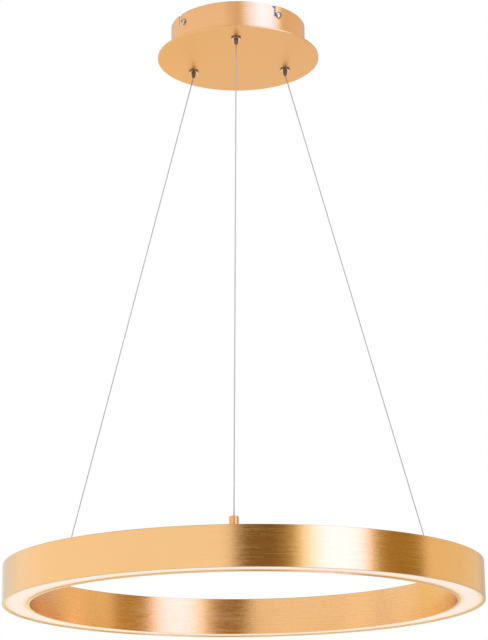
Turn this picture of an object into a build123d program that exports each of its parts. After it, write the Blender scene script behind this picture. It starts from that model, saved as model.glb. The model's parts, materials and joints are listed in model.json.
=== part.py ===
from build123d import *

import os
from math import cos, degrees, dist, pi, radians, sin, sqrt, tan

os.makedirs("parts", exist_ok=True)

# A ring lamp on three wires. The origin is on the ceiling at the canopy's axis, +Z is up, in millimetres.

# Driving dimensions of the whole lamp
overall_drop = 650.0
wire_count = 3
first_wire_angle = -90.0

# Driving dimensions of the ring
ring_diameter = 500.0
ring_height = 40.0
ring_width = 28.5
ring_wall = 2.5
ring_web = 3.0
ring_edge_radius = 0.4

# Driving dimensions of the diffuser, which snaps into grooves in the ring's walls
diffuser_recess = 1.5
diffuser_thickness = 1.6
diffuser_leg_height = 7.0
diffuser_leg_thickness = 1.2
diffuser_clearance = 0.15
barb_height = 1.0
barb_bite = 0.5
barb_drop = 1.0
groove_clearance = 0.1

# Driving dimensions of the light source
board_width = 14.0
board_thickness = 1.2
board_gap = 16.0
leds_per_board = 32
led_length = 3.5
led_width = 2.8
led_height = 0.8
board_screw_diameter = 2.5
board_screw_head_diameter = 4.5
board_screw_head_height = 1.6
board_screw_head_chamfer = 0.4
board_screw_inset = 4
board_screw_bite = 2.2
board_screw_hole_depth = 2.4
link_diameter = 0.8
link_inset = 4.0
link_spread = 3.0
link_overlap = 3.0
ring_lead_diameter = 1.0
ring_lead_reach = 11.0
ring_lead_drop = 5.0

# Driving dimensions of the suspension
wire_diameter = 1.2
wire_entry = 1.5
wire_bend_depth = 0.8
gripper_circle_radius = 60.0
ferrule_diameter = 3.4
ferrule_depth = 4.2
crimp_clearance = 0.02

# Driving dimensions of the anchors on the ring
anchor_inset = 10.0
anchor_diameter = 9.2
anchor_height = 9.0
anchor_chamfer = 0.5
anchor_stud_diameter = 6.0
anchor_throat_diameter = 2.9
anchor_mouth_diameter = 6.4
anchor_bore_clearance = 0.1
anchor_seat_clearance = 0.05
anchor_nut_across_flats = 10.0
anchor_nut_height = 3.2
anchor_nut_turn = 30.0
anchor_stud_reserve = 0.8

# Driving dimensions of the wire grippers
flange_diameter = 10.8
flange_height = 1.6
flange_chamfer = 0.3
barrel_diameter = 8.0
barrel_length = 25.0
stem_diameter = 5.0
stem_clearance = 0.05
stem_bore_diameter = 1.7
nose_length = 5.8
nose_taper_length = 5.0
nose_tip_diameter = 3.4
nose_mouth_diameter = 2.6
nose_mouth_depth = 4.0
nose_mouth_cone = 1.0
chamber_diameter = 6.2
cone_rise = 6.0
cap_plug_depth = 2.0
cap_flange_height = 1.0
cap_hole_diameter = 1.8
ball_count = 3
ball_diameter = 2.2
ball_clearance = 0.03
spring_length = 7.0
spring_diameter = 4.4
spring_wire = 0.5
spring_turns = 5
spring_seat_gap = 0.02
gripper_washer_diameter = 16.0
gripper_washer_thickness = 1.0
gripper_nut_across_flats = 13.0
gripper_nut_height = 4.0

# Driving dimensions of the canopy
cup_diameter = 150.0
cup_height = 35.0
cup_wall = 1.2
plate_diameter = 180.0
plate_thickness = 2.0
plate_edge_radius = 0.3
slot_width = 4.4
slot_depth = 13.5
slot_offset = 6.5
slot_cut_depth = 2.4

# Driving dimensions of the side screws
side_screw_count = 4
side_screw_angle = 39.0
side_screw_drop = 10.5
side_screw_diameter = 4.0
side_screw_length = 8.0
side_screw_head_diameter = 7.5
side_screw_head_height = 2.6
side_screw_head_gap = 0.02
recess_length = 4.0
recess_width = 0.9
recess_depth = 1.2

# Driving dimensions of the ceiling bracket
bracket_thickness = 1.5
bracket_hub_diameter = 104.0
bracket_tab_width = 16.0
bracket_tab_height = 16.0
bracket_tab_gap = 0.2
ceiling_slot_spacing = 80.0
ceiling_slot_length = 14.0
ceiling_slot_width = 5.2
cable_hole_diameter = 16.0
bush_bore_diameter = 9.0
bush_flange_diameter = 20.0
bush_flange_height = 2.0
bush_collar_diameter = 12.0
bush_length = 6.0

# Driving dimensions of the mains connection
block_length = 30.0
block_width = 16.0
block_height = 13.0
block_y = -38.0
pole_pitch = 10.0
pole_count = 3
pole_bore_diameter = 3.0
pole_drop = 7.8
pole_screw_spacing = 8.0
pole_screw_diameter = 3.0
pole_screw_sink = 0.5
fixing_screw_diameter = 3.0
fixing_screw_head_diameter = 5.5
fixing_screw_head_height = 2.0
earth_x = 26.0
earth_screw_diameter = 4.0
earth_screw_head_diameter = 7.5
earth_screw_head_height = 2.4
tag_diameter = 8.0
tag_thickness = 0.8
tag_barrel_diameter = 2.8
tag_barrel_start = 5.0
tag_barrel_length = 7.0
tag_strap_width = 2.4

# Driving dimensions of the driver
driver_length = 90.0
driver_width = 40.0
driver_height = 22.0
driver_wall = 1.5
driver_corner_radius = 2.0
driver_lid_thickness = 2.0
driver_lid_lip = 2.0
driver_lip_wall = 1.2
driver_fit = 0.15
ear_length = 9.0
ear_width = 12.0
ear_thickness = 2.0
post_diameter = 4.0
post_height = 3.0
post_inset = 6.0
board_edge_gap = 1.0
driver_board_thickness = 1.6
transformer_size = (20.0, 16.0, 11.0)
transformer_x = 8.0
choke_size = (10.0, 12.0, 8.0)
choke_x = -12.0
capacitor_diameter = 10.0
capacitor_height = 12.0
capacitor_spacing = 60.0
driver_stud_diameter = 3.0
driver_stud_head_diameter = 4.6
driver_stud_reserve = 1.0
driver_nut_across_flats = 5.5
driver_nut_height = 2.4

# Driving dimensions of the leads
lead_diameter = 1.5
lead_hole_clearance = 0.15
lead_pad_inset = 8.0
lead_height = 16.8
lead_slant = 10.0
lead_bite = 6.0
lead_gap_share = 0.3
arc_share = 0.45
tail_gap = 0.3
tail_top_drop = 6.0
tail_bend_radius = 4.0
tail_run = 14.0
tail_spare_drop = 8.0
sleeve_diameter = 3.4
sleeve_length = 8.0
sleeve_start = 12.0

# Fits that several pieces share
thread_clearance = 0.03
bolt_clearance = 0.1
screw_tip_gap = 0.2

# Levels worked out from the sizes above
cup_floor_z = -cup_height + cup_wall
plate_bottom_z = -cup_height - plate_thickness
ring_bottom_z = -overall_drop
ring_top_z = ring_bottom_z + ring_height
web_z = ring_top_z - ring_web
board_bottom_z = web_z - board_thickness
bracket_bottom_z = -bracket_thickness
flange_bottom_z = plate_bottom_z - flange_height
nose_tip_z = flange_bottom_z - nose_length
barrel_top_z = plate_bottom_z + barrel_length
plug_bottom_z = barrel_top_z - cap_plug_depth
stem_top_z = plug_bottom_z - spring_length
cone_bottom_z = stem_top_z - cone_rise
pivot_z = nose_tip_z + wire_bend_depth
anchor_top_z = ring_top_z + anchor_height
ferrule_z = anchor_top_z - ferrule_depth
stud_bottom_z = web_z - anchor_nut_height - anchor_stud_reserve

# Radii worked out from the sizes above
ring_outer = ring_diameter / 2
ring_inner = ring_outer - ring_width
ring_middle = ring_outer - ring_width / 2
anchor_circle = ring_outer - anchor_inset
cup_outer = cup_diameter / 2
cup_inner = cup_outer - cup_wall
wire_radius = wire_diameter / 2
stem_radius = stem_diameter / 2
guide_radius = stem_radius + stem_clearance
barrel_radius = barrel_diameter / 2
barrel_hole_radius = barrel_radius + bolt_clearance
chamber_radius = chamber_diameter / 2
ball_radius = ball_diameter / 2
ferrule_radius = ferrule_diameter / 2
tab_face = sqrt((cup_inner - bracket_tab_gap) ** 2 - (bracket_tab_width / 2) ** 2)

# Directions of the wires and of the side screws about the lamp's axis
wire_angles = [first_wire_angle + step * 360 / wire_count for step in range(wire_count)]
screw_angles = [side_screw_angle + step * 360 / side_screw_count for step in range(side_screw_count)]


def save(piece, name):
    """Labels a finished piece and writes it to a file of its own."""
    piece.part.label = name
    export_step(piece.part, f"parts/{name}.step")


def polar(radius, angle, z=0.0):
    """The point at a radius and an angle in degrees about the lamp's axis."""
    return Vector(radius * cos(radians(angle)), radius * sin(radians(angle)), z)


def upright(foot):
    """The vertical axis through a point."""
    return Axis((foot.X, foot.Y, 0), (0, 0, 1))


def outward_plane(radius, angle, z):
    """A plane that faces away from the lamp's axis, with its own Y pointing up."""
    return Plane(origin=polar(radius, angle, z), x_dir=polar(1, angle + 90), z_dir=polar(1, angle))


def half_section(points, foot=Vector(0, 0, 0), angle=0.0):
    """A half section of (radius, z) points, standing on the vertical axis through a point."""
    plane = Plane(origin=(foot.X, foot.Y, 0), x_dir=polar(1, angle), z_dir=polar(1, angle - 90))
    with BuildSketch(plane) as section:
        with BuildLine():
            Polyline(*points, close=True)
        make_face()
    return section.sketch


def corner_radii(points):
    """The radius at each corner of a route, as large as the shorter of its two runs allows."""
    radii = []
    for before, corner, after in zip(points, points[1:], points[2:]):
        run_in = Vector(*corner) - Vector(*before)
        run_out = Vector(*after) - Vector(*corner)
        half_turn = radians(run_in.get_angle(run_out)) / 2
        radii.append(arc_share * min(run_in.length, run_out.length) / tan(half_turn))
    return radii


def routed_lead(name, points, diameter, radii=None):
    """A round lead along straight runs joined by tangent arcs."""
    radii = radii or corner_radii(points)
    first_run = Vector(*points[1]) - Vector(*points[0])
    with BuildPart() as lead:
        with BuildLine() as route:
            FilletPolyline(*points, radius=radii)
        with BuildSketch(Plane(origin=points[0], z_dir=first_run)):
            Circle(diameter / 2)
        sweep(path=route.wire())
    print(name, "bend radii", [round(radius, 1) for radius in radii])
    save(lead, name)


# Ends of the wires: where each turns in its gripper, and the ball in its anchor
wire_pivots = [polar(gripper_circle_radius, angle, pivot_z) for angle in wire_angles]
ferrule_centres = [polar(anchor_circle, angle, ferrule_z) for angle in wire_angles]

# Diffuser: an opal channel with a barb along each leg
diffuser_inner = ring_inner + ring_wall + diffuser_clearance
diffuser_outer = ring_outer - ring_wall - diffuser_clearance
diffuser_bottom_z = ring_bottom_z + diffuser_recess
diffuser_top_z = diffuser_bottom_z + diffuser_leg_height
barb_top_z = diffuser_top_z - barb_drop
barb_bottom_z = barb_top_z - barb_height
barb_reach = diffuser_clearance + barb_bite
diffuser_section = [
    (diffuser_inner, diffuser_bottom_z),
    (diffuser_outer, diffuser_bottom_z),
    (diffuser_outer, barb_bottom_z),
    (diffuser_outer + barb_reach, barb_bottom_z),
    (diffuser_outer, barb_top_z),
    (diffuser_outer, diffuser_top_z),
    (diffuser_outer - diffuser_leg_thickness, diffuser_top_z),
    (diffuser_outer - diffuser_leg_thickness, diffuser_bottom_z + diffuser_thickness),
    (diffuser_inner + diffuser_leg_thickness, diffuser_bottom_z + diffuser_thickness),
    (diffuser_inner + diffuser_leg_thickness, diffuser_top_z),
    (diffuser_inner, diffuser_top_z),
    (diffuser_inner, barb_top_z),
    (diffuser_inner - barb_reach, barb_bottom_z),
    (diffuser_inner, barb_bottom_z),
]
with BuildPart() as diffuser:
    revolve(half_section(diffuser_section), axis=Axis.Z)
save(diffuser, "diffuser")

# Places along the light source
half_gap_angle = degrees(board_gap / ring_middle) / 2
board_span = 360 / wire_count - 2 * half_gap_angle
board_starts = [angle + half_gap_angle for angle in wire_angles]
led_step = board_span / leds_per_board
screw_steps = [board_screw_inset, leds_per_board // 2, leds_per_board - board_screw_inset]
board_screw_places = [
    polar(ring_middle, start + step * led_step) for start in board_starts for step in screw_steps
]

# Ring channel: a U section open downwards, with a groove for each barb
groove_depth = barb_bite + groove_clearance
groove_bottom_z = barb_bottom_z - groove_clearance
groove_top_z = barb_top_z + groove_clearance
channel_section = [
    (ring_outer, ring_bottom_z),
    (ring_outer, ring_top_z),
    (ring_inner, ring_top_z),
    (ring_inner, ring_bottom_z),
    (ring_inner + ring_wall, ring_bottom_z),
    (ring_inner + ring_wall, groove_bottom_z),
    (ring_inner + ring_wall - groove_depth, groove_bottom_z),
    (ring_inner + ring_wall - groove_depth, groove_top_z),
    (ring_inner + ring_wall, groove_top_z),
    (ring_inner + ring_wall, web_z),
    (ring_outer - ring_wall, web_z),
    (ring_outer - ring_wall, groove_top_z),
    (ring_outer - ring_wall + groove_depth, groove_top_z),
    (ring_outer - ring_wall + groove_depth, groove_bottom_z),
    (ring_outer - ring_wall, groove_bottom_z),
    (ring_outer - ring_wall, ring_bottom_z),
]
with BuildPart() as ring_channel:
    revolve(half_section(channel_section), axis=Axis.Z)
    round_edges = ring_channel.edges().filter_by(GeomType.CIRCLE).group_by(Axis.Z)
    fillet(round_edges[0] + round_edges[-1], ring_edge_radius)
    with BuildSketch(Plane.XY.offset(web_z)):
        with PolarLocations(anchor_circle, wire_count, first_wire_angle):
            Circle(anchor_stud_diameter / 2 + bolt_clearance)
    extrude(amount=ring_web, mode=Mode.SUBTRACT)
    with BuildSketch(Plane.XY.offset(web_z)):
        with Locations(*board_screw_places):
            Circle(board_screw_diameter / 2 + thread_clearance)
    extrude(amount=board_screw_hole_depth, mode=Mode.SUBTRACT)
save(ring_channel, "ring_channel")

# LED boards: one arc between each two anchors, flat under the ring's web
board_section = [
    (ring_middle - board_width / 2, board_bottom_z),
    (ring_middle + board_width / 2, board_bottom_z),
    (ring_middle + board_width / 2, web_z),
    (ring_middle - board_width / 2, web_z),
]
with BuildPart() as led_boards:
    for start in board_starts:
        revolve(half_section(board_section, angle=start), axis=Axis.Z, revolution_arc=board_span)
    with BuildSketch(Plane.XY.offset(board_bottom_z)):
        with Locations(*board_screw_places):
            Circle(board_screw_diameter / 2 + bolt_clearance)
    extrude(amount=board_thickness, mode=Mode.SUBTRACT)
save(led_boards, "led_boards")

with BuildPart() as led_chips:
    with BuildSketch(Plane.XY.offset(board_bottom_z)):
        for start in board_starts:
            with PolarLocations(ring_middle, leds_per_board, start + led_step / 2, board_span):
                Rectangle(led_width, led_length)
    extrude(amount=-led_height)
save(led_chips, "led_chips")

with BuildPart() as led_board_screws:
    with BuildSketch(Plane.XY.offset(board_bottom_z)):
        with Locations(*board_screw_places):
            Circle(board_screw_head_diameter / 2)
    extrude(amount=-board_screw_head_height)
    chamfer(led_board_screws.edges().group_by(Axis.Z)[0], board_screw_head_chamfer)
    with BuildSketch(Plane.XY.offset(board_bottom_z)):
        with Locations(*board_screw_places):
            Circle(board_screw_diameter / 2)
    extrude(amount=board_thickness + board_screw_bite)
save(led_board_screws, "led_board_screws")

# Board links: a pair of bare wires soldered across each gap between boards, inside the anchor's nut
link_half_angle = half_gap_angle + degrees(link_overlap / ring_middle)
link_z = board_bottom_z - link_diameter / 2
with BuildPart() as board_links:
    for angle in wire_angles:
        link_plane = Plane(
            origin=polar(ring_middle - link_inset, angle - link_half_angle, link_z),
            x_dir=polar(1, angle - link_half_angle),
            z_dir=polar(1, angle - link_half_angle - 90),
        )
        with BuildSketch(link_plane):
            with GridLocations(link_spread, 0, 2, 1):
                Circle(link_diameter / 2)
        revolve(axis=Axis.Z, revolution_arc=2 * link_half_angle)
save(board_links, "board_links")

# Wire anchors: a cap on the ring's top with a hollow stud that holds the wire's ball end
anchor_bore = ferrule_radius + anchor_bore_clearance
anchor_throat = anchor_throat_diameter / 2
seat_rise = (ferrule_radius + anchor_seat_clearance) * sqrt(2)
anchor_section = [
    (anchor_bore, stud_bottom_z),
    (anchor_stud_diameter / 2, stud_bottom_z),
    (anchor_stud_diameter / 2, ring_top_z),
    (anchor_diameter / 2, ring_top_z),
    (anchor_diameter / 2, anchor_top_z - anchor_chamfer),
    (anchor_diameter / 2 - anchor_chamfer, anchor_top_z),
    (anchor_mouth_diameter / 2, anchor_top_z),
    (anchor_throat, ferrule_z + seat_rise - anchor_throat),
    (anchor_bore, ferrule_z + seat_rise - anchor_bore),
]
for number, centre in enumerate(ferrule_centres, start=1):
    with BuildPart() as wire_anchor:
        revolve(half_section(anchor_section, foot=centre), axis=upright(centre))
    save(wire_anchor, f"wire_anchor_{number}")

with BuildPart() as anchor_nuts:
    with BuildSketch(Plane.XY.offset(web_z)):
        with PolarLocations(anchor_circle, wire_count, first_wire_angle):
            RegularPolygon(anchor_nut_across_flats / 2, 6, major_radius=False, rotation=anchor_nut_turn)
            Circle(anchor_stud_diameter / 2 + thread_clearance, mode=Mode.SUBTRACT)
    extrude(amount=-anchor_nut_height)
save(anchor_nuts, "anchor_nuts")

# Suspension wires, straight from gripper to anchor, each with a ball crimped on its lower end
for number, (pivot, centre) in enumerate(zip(wire_pivots, ferrule_centres), start=1):
    wire_plane = Plane(origin=centre, z_dir=pivot - centre)
    with BuildPart() as suspension_wire:
        with BuildSketch(wire_plane):
            Circle(wire_radius)
        extrude(amount=(pivot - centre).length + wire_entry)
    save(suspension_wire, f"suspension_wire_{number}")
    with BuildPart() as wire_ferrule:
        with Locations(centre):
            Sphere(ferrule_radius)
        with BuildSketch(wire_plane):
            Circle(wire_radius + crimp_clearance)
        extrude(amount=ferrule_diameter, mode=Mode.SUBTRACT)
    save(wire_ferrule, f"wire_ferrule_{number}")
print("suspension wire length", round((wire_pivots[0] - ferrule_centres[0]).length + wire_entry, 1))

# Leads from the two live wire ends to the boards
for name, centre, angle in zip(
    ("led_lead_positive", "led_lead_negative"), ferrule_centres[1:], wire_angles[1:]
):
    along = polar(ring_lead_reach, angle + 90)
    start_z = ferrule_z - ferrule_radius - anchor_bore_clearance
    low_z = stud_bottom_z - ring_lead_drop
    ring_lead_route = [
        (centre.X, centre.Y, start_z),
        (centre.X, centre.Y, low_z),
        (centre.X + along.X, centre.Y + along.Y, low_z),
        (centre.X + along.X, centre.Y + along.Y, board_bottom_z),
    ]
    routed_lead(name, ring_lead_route, ring_lead_diameter)

# Ball lock of a gripper: the balls lie on the wire and wedge in the body's cone
cone_slope = (chamber_radius - guide_radius) / cone_rise
ball_circle = wire_radius + ball_radius + crimp_clearance
cone_at_ball = ball_circle + (ball_radius + ball_clearance) * sqrt(1 + cone_slope**2)
ball_z = cone_bottom_z + (cone_at_ball - guide_radius) / cone_slope
ball_angles = [step * 360 / ball_count for step in range(ball_count)]

gripper_section = [
    (guide_radius, flange_bottom_z),
    (flange_diameter / 2 - flange_chamfer, flange_bottom_z),
    (flange_diameter / 2, flange_bottom_z + flange_chamfer),
    (flange_diameter / 2, plate_bottom_z),
    (barrel_radius, plate_bottom_z),
    (barrel_radius, barrel_top_z),
    (chamber_radius, barrel_top_z),
    (chamber_radius, stem_top_z),
    (guide_radius, cone_bottom_z),
]
stem_bore = stem_bore_diameter / 2
nose_mouth = nose_mouth_diameter / 2
plunger_section = [
    (stem_bore, stem_top_z),
    (stem_radius, stem_top_z),
    (stem_radius, nose_tip_z + nose_taper_length),
    (nose_tip_diameter / 2, nose_tip_z),
    (nose_mouth, nose_tip_z),
    (nose_mouth, nose_tip_z + nose_mouth_depth),
    (stem_bore, nose_tip_z + nose_mouth_depth + nose_mouth_cone),
]


def spring_points(foot, half_turn):
    """The point and direction of a gripper spring's centreline after a number of half turns."""
    low_z = stem_top_z + spring_wire / 2 + spring_seat_gap
    high_z = plug_bottom_z - spring_wire / 2 - spring_seat_gap
    rise = (high_z - low_z) / (2 * spring_turns)
    angle = half_turn * 180
    point = Vector(foot.X, foot.Y, low_z + half_turn * rise) + polar(spring_diameter / 2, angle)
    direction = polar(pi * spring_diameter / 2, angle + 90, rise)
    return point, direction.normalized()


def biarc_joint(start, start_direction, end, end_direction):
    """Where two tangent arcs from one directed point to another meet, and their direction there."""
    across = end - start
    turn = 1 - start_direction.dot(end_direction)
    reach = across.dot(start_direction + end_direction)
    arm = (sqrt(reach**2 + 2 * turn * across.dot(across)) - reach) / (2 * turn)
    first = start + start_direction * arm
    second = end - end_direction * arm
    return (first + second) * 0.5, (second - first).normalized()


for number, pivot in enumerate(wire_pivots, start=1):
    with BuildPart() as gripper_body:
        revolve(half_section(gripper_section, foot=pivot), axis=upright(pivot))
    save(gripper_body, f"gripper_body_{number}")

    with BuildPart() as gripper_plunger:
        revolve(half_section(plunger_section, foot=pivot), axis=upright(pivot))
        for angle in ball_angles:
            with BuildSketch(Plane(origin=(pivot.X, pivot.Y, ball_z), z_dir=polar(1, angle))):
                Circle(ball_radius + ball_clearance)
            extrude(amount=stem_diameter, mode=Mode.SUBTRACT)
    save(gripper_plunger, f"gripper_plunger_{number}")

    with BuildPart() as gripper_balls:
        with Locations(*[pivot + polar(ball_circle, angle, ball_z - pivot_z) for angle in ball_angles]):
            Sphere(ball_radius)
    save(gripper_balls, f"gripper_balls_{number}")

    with BuildPart() as gripper_spring:
        with BuildLine() as coil:
            for half_turn in range(2 * spring_turns):
                start, start_direction = spring_points(pivot, half_turn)
                end, end_direction = spring_points(pivot, half_turn + 1)
                joint, joint_direction = biarc_joint(start, start_direction, end, end_direction)
                TangentArc(start, joint, tangent=start_direction)
                TangentArc(joint, end, tangent=joint_direction)
        coil_start, coil_direction = spring_points(pivot, 0)
        with BuildSketch(Plane(origin=coil_start, z_dir=coil_direction)):
            Circle(spring_wire / 2)
        sweep(path=coil.wire())
    save(gripper_spring, f"gripper_spring_{number}")
spring_pitch = dist(tuple(spring_points(pivot, 0)[0]), tuple(spring_points(pivot, 2)[0]))
print("least gap between spring turns", round(spring_pitch - spring_wire, 2))

cap_section = [
    (cap_hole_diameter / 2, plug_bottom_z),
    (chamber_radius - thread_clearance, plug_bottom_z),
    (chamber_radius - thread_clearance, barrel_top_z),
    (barrel_radius, barrel_top_z),
    (barrel_radius, barrel_top_z + cap_flange_height),
    (cap_hole_diameter / 2, barrel_top_z + cap_flange_height),
]
with BuildPart() as gripper_caps:
    for pivot in wire_pivots:
        revolve(half_section(cap_section, foot=pivot), axis=upright(pivot))
save(gripper_caps, "gripper_caps")

with BuildPart() as gripper_washers:
    with BuildSketch(Plane.XY.offset(cup_floor_z)):
        with PolarLocations(gripper_circle_radius, wire_count, first_wire_angle):
            Circle(gripper_washer_diameter / 2)
            Circle(barrel_hole_radius, mode=Mode.SUBTRACT)
    extrude(amount=gripper_washer_thickness)
save(gripper_washers, "gripper_washers")

with BuildPart() as gripper_nuts:
    with BuildSketch(Plane.XY.offset(cup_floor_z + gripper_washer_thickness)):
        with PolarLocations(gripper_circle_radius, wire_count, first_wire_angle):
            RegularPolygon(gripper_nut_across_flats / 2, 6, major_radius=False)
            Circle(barrel_radius + thread_clearance, mode=Mode.SUBTRACT)
    extrude(amount=gripper_nut_height)
save(gripper_nuts, "gripper_nuts")

# Canopy plate
with BuildPart() as canopy_plate:
    with BuildSketch(Plane.XY.offset(plate_bottom_z)):
        Circle(plate_diameter / 2)
    extrude(amount=plate_thickness)
    fillet(canopy_plate.edges().filter_by(GeomType.CIRCLE), plate_edge_radius)
    with BuildSketch(Plane.XY.offset(plate_bottom_z)):
        with PolarLocations(gripper_circle_radius, wire_count, first_wire_angle):
            Circle(barrel_hole_radius)
    extrude(amount=plate_thickness, mode=Mode.SUBTRACT)
save(canopy_plate, "canopy_plate")

# Canopy cup: open at the ceiling, with a bayonet slot for each side screw
driver_stud_spacing = driver_length + ear_length
cup_section = [
    (0, -cup_height),
    (cup_outer, -cup_height),
    (cup_outer, 0),
    (cup_inner, 0),
    (cup_inner, cup_floor_z),
    (0, cup_floor_z),
]
with BuildPart() as canopy_cup:
    revolve(half_section(cup_section), axis=Axis.Z)
    with BuildSketch(Plane.XY.offset(-cup_height)):
        with PolarLocations(gripper_circle_radius, wire_count, first_wire_angle):
            Circle(barrel_hole_radius)
        with GridLocations(driver_stud_spacing, 0, 2, 1):
            Circle(driver_stud_head_diameter / 2 + thread_clearance)
    extrude(amount=cup_wall, mode=Mode.SUBTRACT)
    for angle in screw_angles:
        with BuildSketch(outward_plane(cup_outer, angle, -side_screw_drop)):
            with Locations((-slot_offset / 2, 0)):
                SlotCenterToCenter(slot_offset, slot_width)
            with Locations((-slot_offset, side_screw_drop - slot_depth + slot_width / 2)):
                Circle(slot_width / 2)
            with Locations((-slot_offset, side_screw_drop)):
                Rectangle(slot_width, slot_depth - slot_width / 2, align=(Align.CENTER, Align.MAX))
        extrude(amount=-slot_cut_depth, mode=Mode.SUBTRACT)
save(canopy_cup, "canopy_cup")

# Side screws: domed heads outside the cup, shanks in the bracket's tabs
head_base = cup_outer + side_screw_head_gap
head_edge = side_screw_head_height / 2
with BuildPart() as side_screws:
    for angle in screw_angles:
        screw_plane = Plane(
            origin=polar(head_base, angle, -side_screw_drop),
            x_dir=(0, 0, 1),
            z_dir=polar(1, angle + 90),
        )
        with BuildSketch(screw_plane):
            with BuildLine():
                Polyline(
                    (0, side_screw_head_height),
                    (0, -side_screw_length),
                    (side_screw_diameter / 2, -side_screw_length),
                    (side_screw_diameter / 2, 0),
                    (side_screw_head_diameter / 2, 0),
                    (side_screw_head_diameter / 2, head_edge),
                )
                RadiusArc(
                    (side_screw_head_diameter / 2, head_edge),
                    (0, side_screw_head_height),
                    -side_screw_head_diameter,
                )
            make_face()
        revolve(axis=Axis(polar(head_base, angle, -side_screw_drop), polar(1, angle)))
        with BuildSketch(outward_plane(head_base + side_screw_head_height, angle, -side_screw_drop)):
            Rectangle(recess_length, recess_width)
            Rectangle(recess_width, recess_length)
        extrude(amount=-recess_depth, mode=Mode.SUBTRACT)
save(side_screws, "side_screws")

# Ceiling bracket: a stamped cross with bent tabs
block_back_y = block_y + block_width / 2
earth_y = block_back_y + lead_gap_share * (-driver_width / 2 - block_back_y) + lead_diameter
fixing_place = (pole_pitch / 2, block_y)
with BuildPart() as ceiling_bracket:
    with BuildSketch(Plane.XY.offset(bracket_bottom_z)):
        Circle(bracket_hub_diameter / 2)
        with PolarLocations(0, side_screw_count, side_screw_angle):
            Rectangle(tab_face, bracket_tab_width, align=(Align.MIN, Align.CENTER))
        Circle(cable_hole_diameter / 2, mode=Mode.SUBTRACT)
        with GridLocations(ceiling_slot_spacing, 0, 2, 1):
            SlotOverall(ceiling_slot_length, ceiling_slot_width, mode=Mode.SUBTRACT)
        with Locations(fixing_place):
            Circle(fixing_screw_diameter / 2 + thread_clearance, mode=Mode.SUBTRACT)
        with Locations((earth_x, earth_y)):
            Circle(earth_screw_diameter / 2 + thread_clearance, mode=Mode.SUBTRACT)
    extrude(amount=bracket_thickness)
    with BuildSketch(Plane.XY):
        with PolarLocations(tab_face, side_screw_count, side_screw_angle):
            Rectangle(bracket_thickness, bracket_tab_width, align=(Align.MAX, Align.CENTER))
    extrude(amount=-bracket_tab_height)
    for angle in screw_angles:
        with BuildSketch(outward_plane(tab_face, angle, -side_screw_drop)):
            Circle(side_screw_diameter / 2 + thread_clearance)
        extrude(amount=-bracket_thickness, mode=Mode.SUBTRACT)
save(ceiling_bracket, "ceiling_bracket")

# Cable bush in the bracket's central hole
bush_section = [
    (bush_bore_diameter / 2, 0),
    (cable_hole_diameter / 2 - thread_clearance, 0),
    (cable_hole_diameter / 2 - thread_clearance, bracket_bottom_z),
    (bush_flange_diameter / 2, bracket_bottom_z),
    (bush_flange_diameter / 2, bracket_bottom_z - bush_flange_height),
    (bush_collar_diameter / 2, bracket_bottom_z - bush_flange_height),
    (bush_collar_diameter / 2, -bush_length),
    (bush_bore_diameter / 2, -bush_length),
]
with BuildPart() as cable_bush:
    revolve(half_section(bush_section), axis=Axis.Z)
save(cable_bush, "cable_bush")

# Terminal block under the bracket, with a row of poles
block_bottom_z = bracket_bottom_z - block_height
pole_z = bracket_bottom_z - pole_drop
with BuildPart() as terminal_block:
    with BuildSketch(Plane.XY.offset(block_bottom_z)):
        with Locations((0, block_y)):
            Rectangle(block_length, block_width)
        with Locations(fixing_place):
            Circle(fixing_screw_diameter / 2 + bolt_clearance, mode=Mode.SUBTRACT)
    extrude(amount=block_height)
    with BuildSketch(Plane.XZ.offset(-block_back_y)):
        with Locations((0, pole_z)):
            with GridLocations(pole_pitch, 0, pole_count, 1):
                Circle(pole_bore_diameter / 2)
    extrude(amount=block_width, mode=Mode.SUBTRACT)
    with BuildSketch(Plane.XY.offset(block_bottom_z)):
        with Locations((0, block_y)):
            with GridLocations(pole_pitch, pole_screw_spacing, pole_count, 2):
                Circle(pole_screw_diameter / 2 + thread_clearance)
    extrude(amount=pole_z - block_bottom_z, mode=Mode.SUBTRACT)
save(terminal_block, "terminal_block")

pole_screw_top_z = pole_z - lead_diameter / 2 - crimp_clearance
with BuildPart() as terminal_screws:
    with BuildSketch(Plane.XY.offset(block_bottom_z + pole_screw_sink)):
        with Locations((0, block_y)):
            with GridLocations(pole_pitch, pole_screw_spacing, pole_count, 2):
                Circle(pole_screw_diameter / 2)
    extrude(amount=pole_screw_top_z - block_bottom_z - pole_screw_sink)
    with BuildSketch(Plane.XY.offset(block_bottom_z + pole_screw_sink)):
        with Locations((0, block_y)):
            with GridLocations(pole_pitch, pole_screw_spacing, pole_count, 2):
                Rectangle(pole_screw_diameter, recess_width)
    extrude(amount=recess_depth, mode=Mode.SUBTRACT)
save(terminal_screws, "terminal_screws")

with BuildPart() as terminal_fixing_screw:
    with BuildSketch(Plane.XY.offset(block_bottom_z)):
        with Locations(fixing_place):
            Circle(fixing_screw_head_diameter / 2)
    extrude(amount=-fixing_screw_head_height)
    with BuildSketch(Plane.XY.offset(block_bottom_z)):
        with Locations(fixing_place):
            Circle(fixing_screw_diameter / 2)
    extrude(amount=block_height + bracket_thickness - screw_tip_gap)
save(terminal_fixing_screw, "terminal_fixing_screw")

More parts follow.
